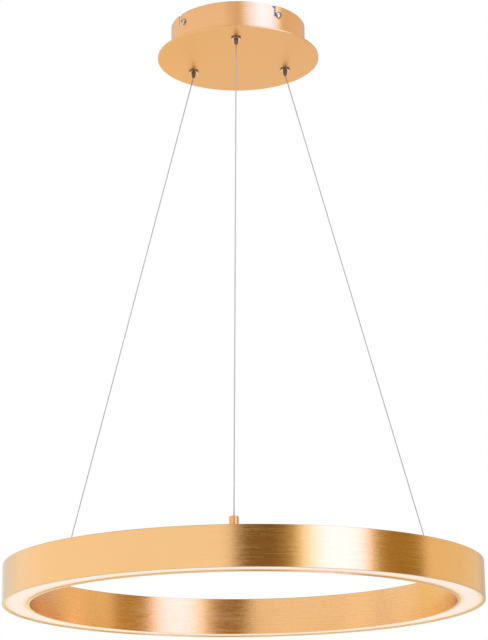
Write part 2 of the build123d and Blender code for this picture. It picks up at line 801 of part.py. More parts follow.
# Earth bond on the bracket
tag_bottom_z = bracket_bottom_z - tag_thickness
barrel_z = bracket_bottom_z - tag_barrel_diameter / 2 - thread_clearance
barrel_end_x = earth_x - tag_barrel_start
strap_length = tag_barrel_start + tag_barrel_length / 2
with BuildPart() as earth_tag:
    with BuildSketch(Plane.XY.offset(tag_bottom_z)):
        with Locations((earth_x, earth_y)):
            Circle(tag_diameter / 2)
            Rectangle(strap_length, tag_strap_width, align=(Align.MAX, Align.CENTER))
        with Locations((earth_x, earth_y)):
            Circle(earth_screw_diameter / 2 + bolt_clearance, mode=Mode.SUBTRACT)
    extrude(amount=tag_thickness)
    with BuildSketch(Plane.YZ.offset(barrel_end_x)):
        with Locations((earth_y, barrel_z)):
            Circle(tag_barrel_diameter / 2)
    extrude(amount=-tag_barrel_length)
    with BuildSketch(Plane.YZ.offset(barrel_end_x)):
        with Locations((earth_y, barrel_z)):
            Circle(lead_diameter / 2 + crimp_clearance)
    extrude(amount=-tag_barrel_length, mode=Mode.SUBTRACT)
save(earth_tag, "earth_tag")

with BuildPart() as earth_screw:
    with BuildSketch(Plane.XY.offset(tag_bottom_z)):
        with Locations((earth_x, earth_y)):
            Circle(earth_screw_head_diameter / 2)
    extrude(amount=-earth_screw_head_height)
    with BuildSketch(Plane.XY.offset(tag_bottom_z)):
        with Locations((earth_x, earth_y)):
            Circle(earth_screw_diameter / 2)
    extrude(amount=tag_thickness + bracket_thickness - screw_tip_gap)
    with BuildSketch(Plane.XY.offset(tag_bottom_z - earth_screw_head_height)):
        with Locations((earth_x, earth_y)):
            Rectangle(recess_length, recess_width)
            Rectangle(recess_width, recess_length)
    extrude(amount=recess_depth, mode=Mode.SUBTRACT)
save(earth_screw, "earth_screw")

# Driver: case, lid, board and parts, held on two flush studs in the cup's floor
case_height = driver_height - driver_lid_thickness
inside_length = driver_length - 2 * driver_wall
inside_width = driver_width - 2 * driver_wall
lead_z = cup_floor_z + lead_height
with BuildPart() as driver_case:
    with BuildSketch(Plane.XY.offset(cup_floor_z)):
        RectangleRounded(driver_length, driver_width, driver_corner_radius)
    extrude(amount=case_height)
    with BuildSketch(Plane.XY.offset(cup_floor_z + driver_wall)):
        Rectangle(inside_length, inside_width)
    extrude(amount=case_height - driver_wall, mode=Mode.SUBTRACT)
    with BuildSketch(Plane.XY.offset(cup_floor_z)):
        with GridLocations(driver_stud_spacing, 0, 2, 1):
            Rectangle(ear_length, ear_width)
            Circle(driver_stud_diameter / 2 + bolt_clearance, mode=Mode.SUBTRACT)
    extrude(amount=ear_thickness)
    with BuildSketch(Plane.XY.offset(cup_floor_z + driver_wall)):
        with GridLocations(inside_length - 2 * post_inset, inside_width - 2 * post_inset, 2, 2):
            Circle(post_diameter / 2)
    extrude(amount=post_height)
    with BuildSketch(Plane.XZ):
        with Locations((0, lead_z)):
            with GridLocations(2 * pole_pitch, 0, 2, 1):
                Circle(lead_diameter / 2 + lead_hole_clearance)
    extrude(amount=driver_width, both=True, mode=Mode.SUBTRACT)
save(driver_case, "driver_case")

with BuildPart() as driver_lid:
    with BuildSketch(Plane.XY.offset(cup_floor_z + case_height)):
        RectangleRounded(driver_length, driver_width, driver_corner_radius)
    extrude(amount=driver_lid_thickness)
    with BuildSketch(Plane.XY.offset(cup_floor_z + case_height)):
        Rectangle(inside_length - 2 * driver_fit, inside_width - 2 * driver_fit)
        offset(amount=-driver_lip_wall, mode=Mode.SUBTRACT)
    extrude(amount=-driver_lid_lip)
save(driver_lid, "driver_lid")

driver_board_z = cup_floor_z + driver_wall + post_height
board_top_z = driver_board_z + driver_board_thickness
with BuildPart() as driver_board:
    with BuildSketch(Plane.XY.offset(driver_board_z)):
        Rectangle(inside_length - 2 * board_edge_gap, inside_width - 2 * board_edge_gap)
    extrude(amount=driver_board_thickness)
save(driver_board, "driver_board")

with BuildPart() as driver_components:
    with Locations((transformer_x, 0, board_top_z)):
        Box(*transformer_size, align=(Align.CENTER, Align.CENTER, Align.MIN))
    with Locations((choke_x, 0, board_top_z)):
        Box(*choke_size, align=(Align.CENTER, Align.CENTER, Align.MIN))
    with BuildSketch(Plane.XY.offset(board_top_z)):
        with GridLocations(capacitor_spacing, 0, 2, 1):
            Circle(capacitor_diameter / 2)
    extrude(amount=capacitor_height)
save(driver_components, "driver_components")

with BuildPart() as driver_studs:
    with BuildSketch(Plane.XY.offset(-cup_height)):
        with GridLocations(driver_stud_spacing, 0, 2, 1):
            Circle(driver_stud_head_diameter / 2)
    extrude(amount=cup_wall)
    with BuildSketch(Plane.XY.offset(cup_floor_z)):
        with GridLocations(driver_stud_spacing, 0, 2, 1):
            Circle(driver_stud_diameter / 2)
    extrude(amount=ear_thickness + driver_nut_height + driver_stud_reserve)
save(driver_studs, "driver_studs")

with BuildPart() as driver_nuts:
    with BuildSketch(Plane.XY.offset(cup_floor_z + ear_thickness)):
        with GridLocations(driver_stud_spacing, 0, 2, 1):
            RegularPolygon(driver_nut_across_flats / 2, 6, major_radius=False)
            Circle(driver_stud_diameter / 2 + thread_clearance, mode=Mode.SUBTRACT)
    extrude(amount=driver_nut_height)
save(driver_nuts, "driver_nuts")

# Mains leads, from the driver's board to the outer poles of the terminal block
pad_y = inside_width / 2 - lead_pad_inset
lead_gap = -driver_width / 2 - block_back_y
for name, lead_x in (("live_lead", -pole_pitch), ("neutral_lead", pole_pitch)):
    mains_route = [
        (lead_x, -pad_y, board_top_z),
        (lead_x, -pad_y, lead_z),
        (lead_x, -driver_width / 2 - lead_gap_share * lead_gap, lead_z),
        (lead_x, block_back_y + lead_gap_share * lead_gap, pole_z),
        (lead_x, block_back_y - lead_bite, pole_z),
    ]
    routed_lead(name, mains_route, lead_diameter)

# Earth lead, from the middle pole to the tag
earth_route = [
    (0, block_back_y - lead_bite, pole_z),
    (0, earth_y, pole_z),
    ((barrel_end_x - tag_barrel_length) / 2, earth_y, barrel_z),
    (barrel_end_x - tag_barrel_length / 2, earth_y, barrel_z),
]
routed_lead("earth_lead", earth_route, lead_diameter)

# Wire tails above the grippers: the first is spare, the other two feed the ring
tail_bottom_z = pivot_z + wire_entry + tail_gap
with BuildPart() as wire_tail:
    with BuildSketch(Plane(origin=(wire_pivots[0].X, wire_pivots[0].Y, tail_bottom_z))):
        Circle(wire_radius)
    extrude(amount=-tail_spare_drop - tail_bottom_z)
save(wire_tail, "wire_tail_1")

output_names = ("positive_lead", "negative_lead")
live_pivots = wire_pivots[1:]
for number, (name, pivot) in enumerate(zip(output_names, live_pivots), start=2):
    side = 1 if pivot.X > 0 else -1
    tail_route = [
        (pivot.X, pivot.Y, tail_bottom_z),
        (pivot.X, pivot.Y, -tail_top_drop),
        (pivot.X - side * tail_run, pivot.Y, -tail_top_drop),
    ]
    routed_lead(f"wire_tail_{number}", tail_route, wire_diameter, [tail_bend_radius])
    output_route = [
        (side * pole_pitch, pad_y, board_top_z),
        (side * pole_pitch, pad_y, lead_z),
        (side * pole_pitch, pivot.Y, lead_z),
        (side * (pole_pitch + lead_slant), pivot.Y, -tail_top_drop),
        (pivot.X - side * (sleeve_start + sleeve_length / 2), pivot.Y, -tail_top_drop),
    ]
    routed_lead(name, output_route, lead_diameter)

# Crimp sleeves between the tails and the driver's output leads
with BuildPart() as lead_crimps:
    for pivot in live_pivots:
        side = 1 if pivot.X > 0 else -1
        with BuildSketch(Plane.YZ.offset(pivot.X - side * sleeve_start)):
            with Locations((pivot.Y, -tail_top_drop)):
                Circle(sleeve_diameter / 2)
                Circle(lead_diameter / 2 + crimp_clearance, mode=Mode.SUBTRACT)
        extrude(amount=-side * sleeve_length)
save(lead_crimps, "lead_crimps")
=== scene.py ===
import json
from math import cos, degrees, pi, radians, sin

import bpy
from mathutils import Matrix, Vector


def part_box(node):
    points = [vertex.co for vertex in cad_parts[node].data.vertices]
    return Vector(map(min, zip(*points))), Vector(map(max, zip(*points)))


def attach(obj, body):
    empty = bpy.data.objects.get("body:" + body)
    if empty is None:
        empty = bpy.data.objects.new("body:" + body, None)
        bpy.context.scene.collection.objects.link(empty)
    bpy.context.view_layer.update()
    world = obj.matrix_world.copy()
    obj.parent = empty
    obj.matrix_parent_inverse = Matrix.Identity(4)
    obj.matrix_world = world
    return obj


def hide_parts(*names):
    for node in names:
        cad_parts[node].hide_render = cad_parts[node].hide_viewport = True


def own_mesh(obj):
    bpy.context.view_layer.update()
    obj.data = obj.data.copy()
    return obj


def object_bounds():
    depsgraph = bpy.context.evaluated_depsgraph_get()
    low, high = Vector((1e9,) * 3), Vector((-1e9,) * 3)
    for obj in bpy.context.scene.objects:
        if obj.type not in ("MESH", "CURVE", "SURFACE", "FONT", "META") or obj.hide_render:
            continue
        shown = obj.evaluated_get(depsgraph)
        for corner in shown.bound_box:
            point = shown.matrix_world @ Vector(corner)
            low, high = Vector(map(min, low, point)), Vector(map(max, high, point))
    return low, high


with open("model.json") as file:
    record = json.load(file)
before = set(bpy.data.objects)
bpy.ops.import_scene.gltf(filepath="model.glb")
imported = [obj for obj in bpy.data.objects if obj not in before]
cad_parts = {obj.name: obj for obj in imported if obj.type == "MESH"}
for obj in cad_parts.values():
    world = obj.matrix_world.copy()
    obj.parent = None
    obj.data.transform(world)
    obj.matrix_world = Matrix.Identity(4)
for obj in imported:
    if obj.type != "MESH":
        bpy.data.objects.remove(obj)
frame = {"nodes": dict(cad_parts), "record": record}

cad_low, cad_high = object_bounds()
scene = bpy.context.scene
scene.view_settings.view_transform = "Standard"
nodes = frame["nodes"]

# A ring lamp on three wires. Metres, origin on the ceiling at the canopy's axis, +Z up.

# Camera, from a fit to the outlines of the ring, the plate and the drum in a picture 640 pixels high
picture_height_px = 640
focal_px = 2056.2
sensor_mm = 36.0
camera_turn = radians(1.9)
camera_pitch = radians(16.16)
camera_roll = radians(-0.606)
camera_place = Vector((0.0034, -2.1339, -0.9592))
camera_swing = Matrix.Rotation(camera_turn, 4, "Z")

# Studio round the lamp, with brightness as a share of white
ambient_level = 0.75
top_level = 0.65
right_level = 0.85
back_level = 0.75
# Directions between which it dims: the slope upwards, and degrees to the right and to the back
top_slopes = (0.2, 0.9)
right_degrees = (75.0, 115.0)
back_degrees = (120.0, 165.0)
# Slopes between which the dimmer back gives way to the floor
floor_slopes = (-0.3, -0.1)

# Light of the cards that only shiny faces see
left_plain = (0.93, 0.93, 0.92)
left_mild = (0.94, 0.93, 0.80)
left_warm = (0.96, 0.92, 0.62)
left_dark = (0.18, 0.11, 0.01)
left_rise = (0.34, 0.23, 0.04)
right_dark = (0.34, 0.22, 0.04)
right_rise = (0.45, 0.29, 0.05)
right_warm = (0.84, 0.73, 0.52)
right_dim = (0.66, 0.56, 0.50)
drum_shade = (0.80, 0.70, 0.60)
softbox_rim = (0.85, 0.80, 0.34)
softbox_middle = (1.3, 1.42, 1.62)
softbox_core = (1.8, 1.77, 3.7)
drum_middle = (1.18, 1.44, 1.45)
drum_core = (1.5, 2.05, 4.3)
# Their bottom and top
near_heights = (-0.80, -0.25)
ring_heights = (-2.2, 0.38)
softbox_heights = (-1.6, 0.38)
right_heights = (-2.2, 0.60)
drum_heights = (0.38, 1.15)
# Each card's two ends on plan, its heights, and its light, one colour or three from the ends inwards
cards = (
    ((-0.36, 0.295), (0.0, 0.637), near_heights, (left_plain, left_mild, left_warm)),
    ((-0.12, -2.15), (0.356, -1.270), ring_heights, (left_dark,)),
    ((0.356, -1.270), (0.44, -1.115), ring_heights, (left_rise,)),
    ((0.44, -1.115), (1.46, -0.90), softbox_heights, (softbox_rim, softbox_middle, softbox_core)),
    ((1.46, -0.90), (1.427, -0.70), ring_heights, (right_rise,)),
    ((1.427, -0.70), (1.334, -0.125), ring_heights, (right_dark,)),
    ((1.334, -0.125), (0.95, 1.15), right_heights, (right_warm,)),
    ((0.95, 1.15), (0.50, 1.75), right_heights, (right_dim,)),
    ((-0.75, -2.20), (0.08, -1.88), drum_heights, (drum_shade,)),
    ((0.08, -1.88), (1.70, -0.20), drum_heights, (softbox_rim, drum_middle, drum_core)),
)
# Shares of a card's length over which the light of its ends gives way to the next
middle_shares = (0.0, 0.15)
core_shares = (0.08, 0.3)

# Lamp and floor
key_place = Vector((-1.6, -2.2, 0.5))
key_side = 1.8
key_power = 14.0
floor_z = -5.0
floor_side = 12.0
floor_white = 0.9

# Suspension wires, as routed in the solids
wire_numbers = (1, 2, 3)
wire_angles = [radians(angle) for angle in (-90, 30, 150)]
gripper_circle = 0.060
anchor_circle = 0.240
pivot_z = -0.0436
ferrule_z = -0.6052
wire_entry = 0.0015
wire_diameter = 0.0012
wire_sides = 16

# Gripper springs
spring_wire = 0.0005
spring_turns = 5
spring_steps_per_turn = 36
spring_sides = 10

# A tube that starts steeper than this gets its first ring from X, not from Z
steep_start = 0.9

# Measures of the solids that finishes follow
ring_low, ring_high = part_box("ring_channel")
plate_low, plate_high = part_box("canopy_plate")
ring_width = 0.0285
ring_half = ring_width / 2
ring_wall = 0.0025
ring_middle = ring_high.x - ring_half
# Distances from an edge between which a mask fades
lip_fade = (0.0002, 0.0006)
wall_fade = (0.0, 0.0004)
channel_fade = (0.0001, 0.0003)
web_fade = (-0.0020, -0.0010)
corner_fade = (-0.0010, -0.0004)
inner_fade = (-0.002, 0.002)
plate_rim_fade = (-0.0022, -0.0006)
plate_face_fade = (0.0, 0.0003)
drum_rim_fade = (-0.0012, -0.0004)
bracket_fade = (-0.0030, -0.0018)

# Colours of the metals
gold = (0.965, 0.575, 0.25)
edge_gold = (0.70, 0.50, 0.28)
rim_gold = (0.86, 0.54, 0.30)
inside_gold = (0.78, 0.60, 0.38)
# Dust on upward faces, a darker gold that is also painted shade on the top
dusty_shaded_gold = (0.72, 0.45, 0.10)
nickel = (0.62, 0.54, 0.43)
# Painted shade on the gripper bodies' sides and tops
nickel_painted_shade = (0.24, 0.16, 0.08)

# Brushed gold: lines per metre along and across the brush, and what they and the dust with its painted shade
# on upward faces do
grain_detail = 4.0
grain_rough = 0.6
line_scales = (20.0, 700.0)
fine_line_scales = (60.0, 2200.0)
line_share = 0.6
line_depth = 0.0004
gold_cloud_scale = 9.0
gold_cloud_gloss = 0.02
streak_share = 0.6
gold_limits = (0.3, 0.7)
gold_shades = (0.95, 1.04)
dust_and_shade_lean = (0.8, 0.95)
dust_and_shade_share = 0.8
dust_roughness = 0.35
lacquer_roughness = 0.2
brush_turn = 0.25

# Polished and zinc plated metal
polish_shades = (0.93, 1.05)
polish_limits = (0.25, 0.75)
polish_gloss = (0.7, 1.4)
polish_mark_scale = 6
painted_shade_lean = (-0.9, -0.6)
mark_strength = 0.05
fine_depth = 0.0001
zinc_scale = 120.0
zinc_mark_scale = 700.0
zinc_dark_share = 0.12
zinc_gloss = (0.85, 1.15)
zinc_roughness = (0.45, 0.65)

# Plastics
skin_detail = 2.0
skin_limits = (0.2, 0.8)
skin_gloss = 0.06
skin_per_cloud = 25
stripe_scale = 60.0
stripe_limits = (0.55, 0.65)
lead_roughness = 0.35
# Shares of the half width over which the diffuser's painted lip shade comes in
opal_edge_shares = (0.38, 0.84)
opal_cloud_scale = 14.0
opal_shades = (0.97, 1.02)
opal_glow_strength = 0.40
opal_roughness = 0.5
opal_specular = 0.15
strand_scale = 500.0
strand_distortion = 0.6
strand_shades = (0.86, 1.1)
strand_relief = 0.2
sheath_roughness = 0.3
slanted_bands = {"wave_type": "BANDS", "bands_direction": "DIAGONAL"}


def fill(tree, node, inputs):
    """Sets a node's inputs to plain values, or joins them to sockets."""
    for key, value in inputs.items():
        if isinstance(value, bpy.types.NodeSocket):
            tree.links.new(value, node.inputs[key])
        else:
            node.inputs[key].default_value = value


def add_node(tree, kind, settings=None, inputs=None):
    """Adds a shader node, sets its properties, and fills its inputs."""
    node = tree.nodes.new(kind)
    for key, value in (settings or {}).items():
        setattr(node, key, value)
    fill(tree, node, inputs or {})
    return node


def calc(tree, operation, first, second=0.0):
    """One step of arithmetic on two sockets or numbers."""
    return add_node(tree, "ShaderNodeMath", {"operation": operation}, {0: first, 1: second}).outputs[0]


def total(tree, first, *others):
    """The sum of sockets and numbers."""
    for other in others:
        first = calc(tree, "ADD", first, other)
    return first


def weighted(tree, first, second, share):
    """A share of the first value and the rest of the second."""
    rest = calc(tree, "MULTIPLY", second, 1.0 - share)
    return calc(tree, "ADD", calc(tree, "MULTIPLY", first, share), rest)


def remap(tree, value, from_low, from_high, to_low, to_high):
    """Maps a value smoothly from one range to another, and holds it at the ends."""
    settings = {"interpolation_type": "SMOOTHSTEP"}
    inputs = {0: value, 1: from_low, 2: from_high, 3: to_low, 4: to_high}
    return add_node(tree, "ShaderNodeMapRange", settings, inputs).outputs[0]


def rises(tree, value, edge, fade):
    """A mask that goes from 0 to 1 between two distances from an edge."""
    return remap(tree, value, edge + fade[0], edge + fade[1], 0.0, 1.0)


def falls(tree, value, edge, fade):
    """A mask that goes from 1 to 0 between two distances from an edge."""
    return remap(tree, value, edge + fade[0], edge + fade[1], 1.0, 0.0)


def noise(tree, vector, scale, detail=3.0, rough=0.55):
    """A noise value between 0 and 1."""
    inputs = {"Vector": vector, "Scale": scale, "Detail": detail, "Roughness": rough}
    return add_node(tree, "ShaderNodeTexNoise", inputs=inputs).outputs[0]


def blend_colours(tree, share, first, second):
    """A colour between two, by a share."""
    inputs = {0: share}
    for socket, colour in ((6, first), (7, second)):
        inputs[socket] = colour if isinstance(colour, bpy.types.NodeSocket) else (*colour, 1.0)
    return add_node(tree, "ShaderNodeMix", {"data_type": "RGBA"}, inputs).outputs[2]


def shade(colour, factor):
    """A colour made lighter or darker."""
    return tuple(min(1.0, channel * factor) for channel in colour)


def vary(tree, share, colour, factors):
    """A colour that goes from a darker to a lighter shade, by a share."""
    return blend_colours(tree, share, *[shade(colour, factor) for factor in factors])


def bump(tree, height, strength, distance):
    """A normal from a height in metres."""
    inputs = {"Height": height, "Strength": strength, "Distance": distance}
    return add_node(tree, "ShaderNodeBump", inputs=inputs).outputs[0]


def axes_of(tree, vector):
    """The X, Y and Z of a place or direction."""
    return add_node(tree, "ShaderNodeSeparateXYZ", inputs={0: vector}).outputs


def radius_from_axis(tree, place):
    """The distance from the lamp's axis."""
    inputs = {0: place, 1: (1.0, 1.0, 0.0)}
    flat = add_node(tree, "ShaderNodeVectorMath", {"operation": "MULTIPLY"}, inputs).outputs[0]
    return add_node(tree, "ShaderNodeVectorMath", {"operation": "LENGTH"}, {0: flat}).outputs["Value"]


def off_ring_middle(tree, place):
    """The distance inwards or outwards from the middle of the ring's profile."""
    return calc(tree, "ABSOLUTE", calc(tree, "SUBTRACT", radius_from_axis(tree, place), ring_middle))


def upward(tree):
    """How far a face looks up: 1 straight up, 0 level, -1 straight down."""
    return axes_of(tree, add_node(tree, "ShaderNodeNewGeometry").outputs["Normal"])["Z"]


def new_material(name, metallic=0.0):
    """A material with one principled shader: itself, its tree, the shader and the place on the object."""
    material = bpy.data.materials.new(name)
    material.use_nodes = True
    tree = material.node_tree
    shader = tree.nodes["Principled BSDF"]
    shader.inputs["Metallic"].default_value = metallic
    place = add_node(tree, "ShaderNodeTexCoord").outputs["Object"]
    return material, tree, shader, place


def turned_grain(tree, place, along, across):
    """Noise drawn out round the lamp's axis, on walls and on flat rings alike."""
    axes = axes_of(tree, place)
    depth = calc(tree, "ADD", axes["Z"], radius_from_axis(tree, place))
    stretched = {
        0: calc(tree, "MULTIPLY", axes["X"], along),
        1: calc(tree, "MULTIPLY", axes["Y"], along),
        2: calc(tree, "MULTIPLY", depth, across),
    }
    drawn_out = add_node(tree, "ShaderNodeCombineXYZ", inputs=stretched).outputs[0]
    return noise(tree, drawn_out, 1.0, grain_detail, grain_rough)


def straight_grain(tree, place, along, across):
    """Noise drawn out along X, for a flat sheet."""
    inputs = {0: place, 3: (along, across, across)}
    drawn_out = add_node(tree, "ShaderNodeMapping", inputs=inputs).outputs[0]
    return noise(tree, drawn_out, 1.0, grain_detail, grain_rough)


def ring_edges(tree, place):
    """Masks of the ring's outer lip and upper corners, which take a greyer gold, and of the channel's duller
    inside.
    """
    z = axes_of(tree, place)["Z"]
    off_middle = off_ring_middle(tree, place)
    low_edge = falls(tree, z, ring_low.z, lip_fade)
    outside = rises(tree, radius_from_axis(tree, place), ring_high.x - ring_wall, wall_fade)
    lip = calc(tree, "MULTIPLY", low_edge, outside)
    sides = rises(tree, off_middle, ring_half, corner_fade)
    corners = calc(tree, "MULTIPLY", sides, rises(tree, z, ring_high.z, corner_fade))
    between_walls = falls(tree, off_middle, ring_half - ring_wall, channel_fade)
    inside = calc(tree, "MULTIPLY", between_walls, falls(tree, z, ring_high.z, web_fade))
    return [(calc(tree, "MAXIMUM", lip, corners), edge_gold), (inside, inside_gold)]


def plate_edges(tree, place):
    """A mask of the plate's lower rim."""
    outer = rises(tree, radius_from_axis(tree, place), plate_high.x, plate_rim_fade)
    face = falls(tree, axes_of(tree, place)["Z"], plate_low.z, plate_face_fade)
    return [(calc(tree, "MULTIPLY", outer, face), rim_gold)]


def drum_edges(tree, place):
    """A mask of the drum's cut upper rim."""
    return [(rises(tree, axes_of(tree, place)["Z"], cad_high.z, drum_rim_fade), edge_gold)]


def brushed_gold(name, colour, grain, roughness, relief, anisotropy=0.0, lacquer=0.0, edges=None, uneven=0.03,
                 graze=(1.0, 1.0, 1.0), dull_inside=0.0):
    """Gold anodised metal with brush lines, uneven in colour and gloss, with a greyer gold on the edges that
    are given, and a top that is dusty and also painted darker as shade.
    """
    material, tree, shader, place = new_material(name, metallic=1.0)
    lines = grain(tree, place, *line_scales)
    fine_lines = grain(tree, place, *fine_line_scales)
    cloud = noise(tree, place, gold_cloud_scale)
    streak = weighted(tree, lines, fine_lines, line_share)
    mottle = remap(tree, weighted(tree, streak, cloud, streak_share), *gold_limits, 0.0, 1.0)
    tint = vary(tree, mottle, colour, gold_shades)
    for mask, edge_colour in edges(tree, place) if edges else ():
        tint = blend_colours(tree, mask, tint, edge_colour)
    lean = upward(tree)
    # Dust and painted shade: upward faces blend towards a darker gold
    dust_and_shade = remap(tree, lean, *dust_and_shade_lean, 0.0, dust_and_shade_share)
    dullness = [
        remap(tree, streak, *gold_limits, -uneven, uneven),
        remap(tree, cloud, *gold_limits, -gold_cloud_gloss, gold_cloud_gloss),
        remap(tree, lean, *dust_and_shade_lean, 0.0, dust_roughness),
    ]
    if dull_inside:
        inner = falls(tree, radius_from_axis(tree, place), ring_middle, inner_fade)
        dullness.append(calc(tree, "MULTIPLY", inner, dull_inside))
    tangent = add_node(tree, "ShaderNodeTangent", {"direction_type": "RADIAL", "axis": "Z"}).outputs[0]
    fill(tree, shader, {
        "Base Color": blend_colours(tree, dust_and_shade, tint, dusty_shaded_gold),
        "Roughness": total(tree, *dullness, roughness),
        "Normal": bump(tree, streak, relief, line_depth),
        "Tangent": tangent,
        "Anisotropic": anisotropy,
        "Anisotropic Rotation": brush_turn,
        "Coat Weight": lacquer,
        "Coat Roughness": lacquer_roughness,
        "Specular Tint": (*graze, 1.0),
    })
    return material


def polished_metal(name, colour, roughness, cloud_scale, painted_shade_colour=None):
    """Plated metal with faint polishing marks; where a painted shade colour is given, all faces but those
    that look down take it as painted shade.
    """
    material, tree, shader, place = new_material(name, metallic=1.0)
    cloud = noise(tree, place, cloud_scale)
    marks = noise(tree, place, cloud_scale * polish_mark_scale)
    smooth, dull = [roughness * factor for factor in polish_gloss]
    tint = vary(tree, cloud, colour, polish_shades)
    # Painted shade: every face but those that look down takes the darker colour
    if painted_shade_colour:
        tint = blend_colours(tree, remap(tree, upward(tree), *painted_shade_lean, 0.0, 1.0), tint, painted_shade_colour)
    fill(tree, shader, {
        "Base Color": tint,
        "Roughness": remap(tree, cloud, *polish_limits, smooth, dull),
        "Normal": bump(tree, marks, mark_strength, fine_depth),
    })
    return material


def bracket_zinc(name, tab_colour, shaded_face_colour):
    """Zinc plated steel, bright on the bent tabs, and duller and painted darker as shade on the face that
    lies against the ceiling.
    """
    material, tree, shader, place = new_material(name, metallic=1.0)
    # Painted shade: the face against the ceiling is darker than the tabs
    face = rises(tree, axes_of(tree, place)["Z"], cad_high.z, bracket_fade)
    spangle = noise(tree, place, zinc_scale)
    plating = blend_colours(tree, face, tab_colour, shaded_face_colour)
    darker = blend_colours(tree, zinc_dark_share, plating, (0.0, 0.0, 0.0))
    spangle_gloss = remap(tree, spangle, *polish_limits, *zinc_gloss)
    roughness = remap(tree, face, 0.0, 1.0, *zinc_roughness)
    fill(tree, shader, {
        "Base Color": blend_colours(tree, spangle, darker, plating),
        "Roughness": calc(tree, "MULTIPLY", spangle_gloss, roughness),
        "Normal": bump(tree, noise(tree, place, zinc_mark_scale), mark_strength, fine_depth),
    })
    return material


def moulded(name, colour, roughness, grain_scale, relief=0.12, spread=0.08):
    """Plastic, rubber, enamel or board with a fine skin texture and slight unevenness of colour."""
    material, tree, shader, place = new_material(name)
    skin = noise(tree, place, grain_scale, skin_detail)
    cloud = noise(tree, place, grain_scale / skin_per_cloud)
    fill(tree, shader, {
        "Base Color": vary(tree, cloud, colour, (1 - spread, 1 + spread)),
        "Roughness": remap(tree, skin, *skin_limits, roughness - skin_gloss, roughness + skin_gloss),
        "Normal": bump(tree, skin, relief, fine_depth),
    })
    return material


def striped_lead(name, colour, stripe_colour):
    """Lead insulation with a stripe of a second colour."""
    material, tree, shader, place = new_material(name)
    inputs = {"Vector": place, "Scale": stripe_scale}
    wave = add_node(tree, "ShaderNodeTexWave", slanted_bands, inputs).outputs["Fac"]
    share = remap(tree, wave, *stripe_limits, 0.0, 1.0)
    fill(tree, shader, {
        "Base Color": blend_colours(tree, share, colour, stripe_colour),
        "Roughness": lead_roughness,
    })
    return material


def opal_lit(name, colour, glow, lip_shade_tint):
    """Opal plastic lit from behind, a little dimmer and warmer towards its edges by a painted shade and
    painted gold reflection of the channel's lips.
    """
    material, tree, shader, place = new_material(name)
    edge_start, edge_end = [ring_half * share for share in opal_edge_shares]
    # Painted shade and gold reflection of the lips: colour and glow turn dimmer and warmer towards the edges
    edge = remap(tree, off_ring_middle(tree, place), edge_start, edge_end, 0.0, 1.0)
    lip_shaded_glow, lip_shaded_colour = [tuple(c * w for c, w in zip(base, lip_shade_tint)) for base in (glow, colour)]
    plain = vary(tree, noise(tree, place, opal_cloud_scale), colour, opal_shades)
    fill(tree, shader, {
        "Base Color": blend_colours(tree, edge, plain, lip_shaded_colour),
        "Emission Color": blend_colours(tree, edge, glow, lip_shaded_glow),
        "Emission Strength": opal_glow_strength,
        "Roughness": opal_roughness,
        "Specular IOR Level": opal_specular,
    })
    return material


def sheathed_wire(name, colour):
    """Pale insulation with the lay of the strands showing through."""
    material, tree, shader, place = new_material(name)
    inputs = {"Vector": place, "Scale": strand_scale, "Distortion": strand_distortion}
    lay = add_node(tree, "ShaderNodeTexWave", slanted_bands, inputs).outputs["Fac"]
    fill(tree, shader, {
        "Base Color": vary(tree, lay, colour, strand_shades),
        "Normal": bump(tree, lay, strand_relief, fine_depth),
        "Roughness": sheath_roughness,
    })
    return material


# Finishes of all the solids, by material slot and then by node where a node has its own
finishes = {
    "brushed_gold": brushed_gold(
        "brushed_gold_ring", gold, turned_grain, roughness=0.22, relief=0.3, anisotropy=0.9, lacquer=0.3,
        edges=ring_edges, uneven=0.08, graze=(0.93, 0.98, 1.0), dull_inside=0.05,
    ),
    "nickel": polished_metal("polished_nickel", nickel, roughness=0.06, cloud_scale=300.0),
    "zinc_steel": polished_metal("zinc_plated_steel", (0.56, 0.54, 0.48), roughness=0.38, cloud_scale=120.0),
    "opal_diffuser": opal_lit(
        "opal_diffuser_lit", (0.80, 0.72, 0.61), glow=(1.0, 0.78, 0.68), lip_shade_tint=(0.99, 0.82, 0.48),
    ),
    "wire_sheath": sheathed_wire("wire_sheath_pale", (0.56, 0.55, 0.56)),
    "white_board": moulded("white_solder_mask", (0.86, 0.86, 0.83), roughness=0.4, grain_scale=900.0),
    "led_phosphor": moulded("led_phosphor_lit", (0.90, 0.72, 0.28), roughness=0.4, grain_scale=900.0),
    "tinned_copper": polished_metal(
        "tinned_copper_bright", (0.70, 0.60, 0.50), roughness=0.3, cloud_scale=200.0,
    ),
    "black_rubber": moulded(
        "black_rubber_matt", (0.03, 0.03, 0.03), roughness=0.75, grain_scale=1500.0, relief=0.3,
    ),
    "white_plastic": moulded("white_plastic_moulded", (0.78, 0.78, 0.75), roughness=0.45, grain_scale=2200.0),
    "pcb_green": moulded(
        "green_solder_mask", (0.02, 0.13, 0.05), roughness=0.35, grain_scale=700.0, spread=0.2,
    ),
    "dark_parts": moulded(
        "dark_moulding", (0.03, 0.03, 0.035), roughness=0.5, grain_scale=1200.0, relief=0.15, spread=0.2,
    ),
    "green_yellow_lead": striped_lead("green_yellow_insulation", (0.04, 0.28, 0.04), (0.75, 0.6, 0.03)),
}
lead_colours = {
    "brown": (0.09, 0.035, 0.015),
    "blue": (0.02, 0.07, 0.36),
    "red": (0.45, 0.02, 0.02),
    "black": (0.02, 0.02, 0.02),
}
for hue, lead_colour in lead_colours.items():
    finishes[f"{hue}_lead"] = moulded(f"{hue}_insulation", lead_colour, lead_roughness, grain_scale=800.0)
